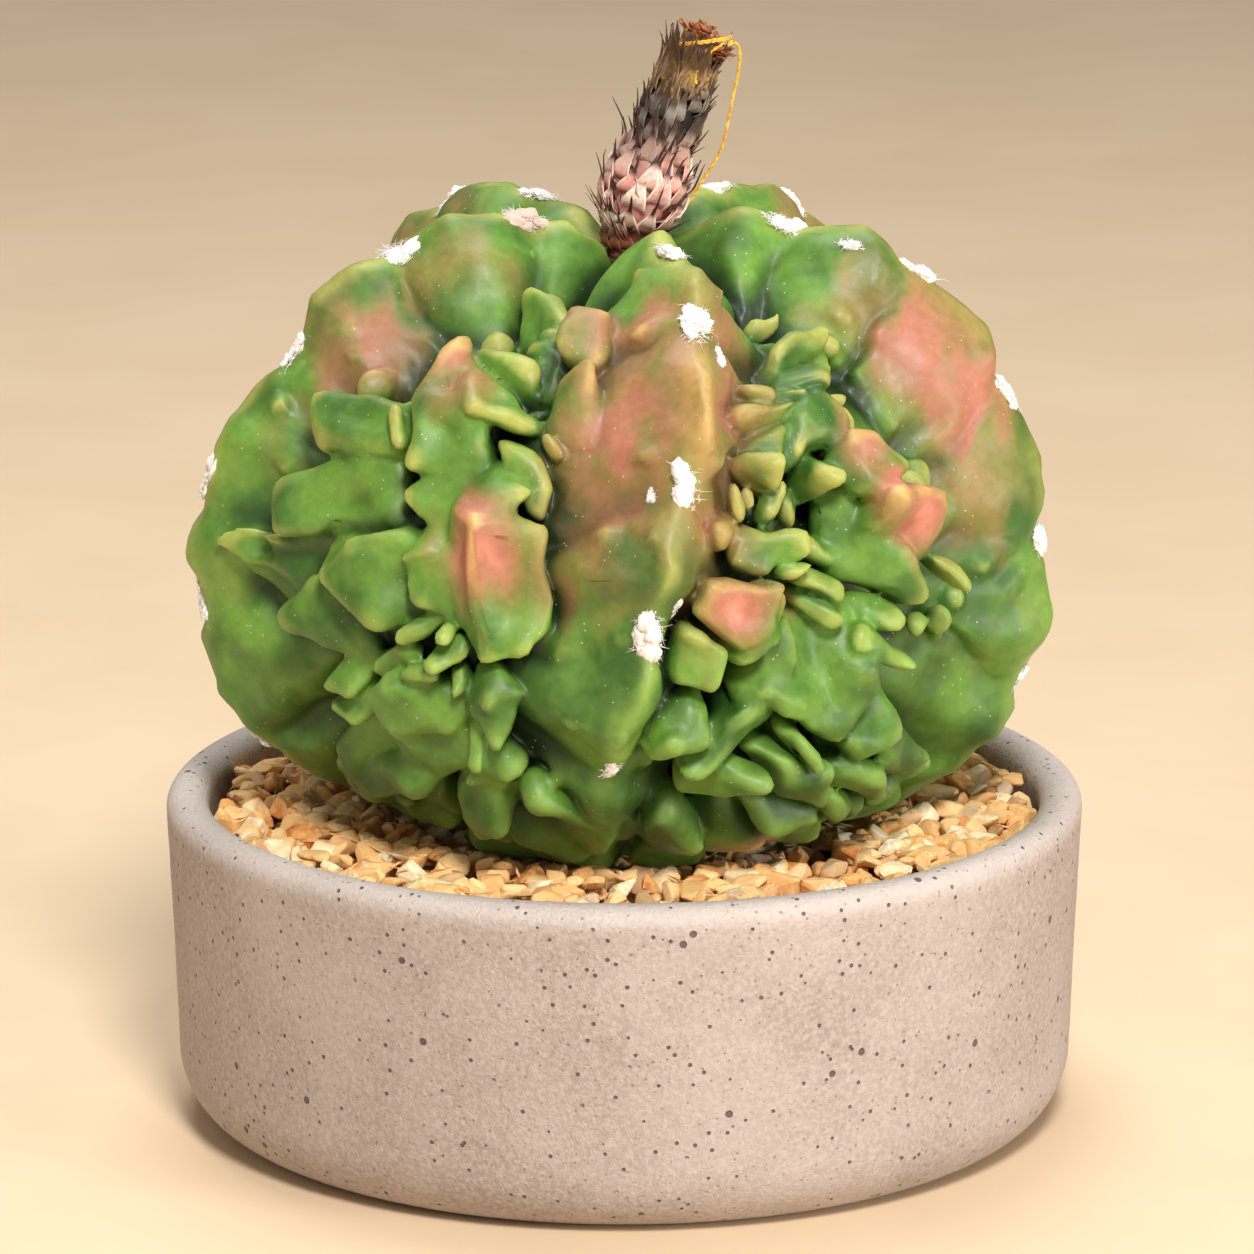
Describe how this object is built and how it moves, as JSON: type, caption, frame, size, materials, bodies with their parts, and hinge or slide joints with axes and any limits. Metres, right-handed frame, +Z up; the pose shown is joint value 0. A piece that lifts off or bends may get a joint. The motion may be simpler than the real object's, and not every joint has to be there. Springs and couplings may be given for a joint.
{
  "type": "potted fukuryu bishops cap cactus",
  "caption": "Ribbed, fold-covered bishop's cap cactus with a withered flower, set on angular gravel in a plain round concrete bowl.",
  "frame": {"origin": "middle of the pot's underside, on the surface that it stands on", "axes": "+Z up, -Y towards the viewer of the picture, +X to the viewer's right"},
  "size_m": [0.15, 0.15, 0.1837],
  "materials": {
    "concrete": "matt cast concrete with pinholes",
    "soil": "loose dark mineral mix",
    "gravel": "dry angular chips in tan, ochre and cream",
    "cactus_skin": "waxy green skin with a rosy blush, corky edges and woolly areoles",
    "fruit_skin": "pink scaly skin",
    "dried_scales": "dry brown papery scales",
    "dried_petal": "crumpled rust-orange dried petals",
    "yellow_thread": "twisted yellow cotton"
  },
  "bodies": {
    "root": {"pot": "concrete", "potting_soil": "soil", "gravel_top_dressing": "gravel", "cactus_body": "cactus_skin", "fruit": "fruit_skin", "dried_flower": "dried_scales", "withered_petals": "dried_petal", "thread_wrap": "yellow_thread", "marking_thread": "yellow_thread"}
  },
  "joints": []
}
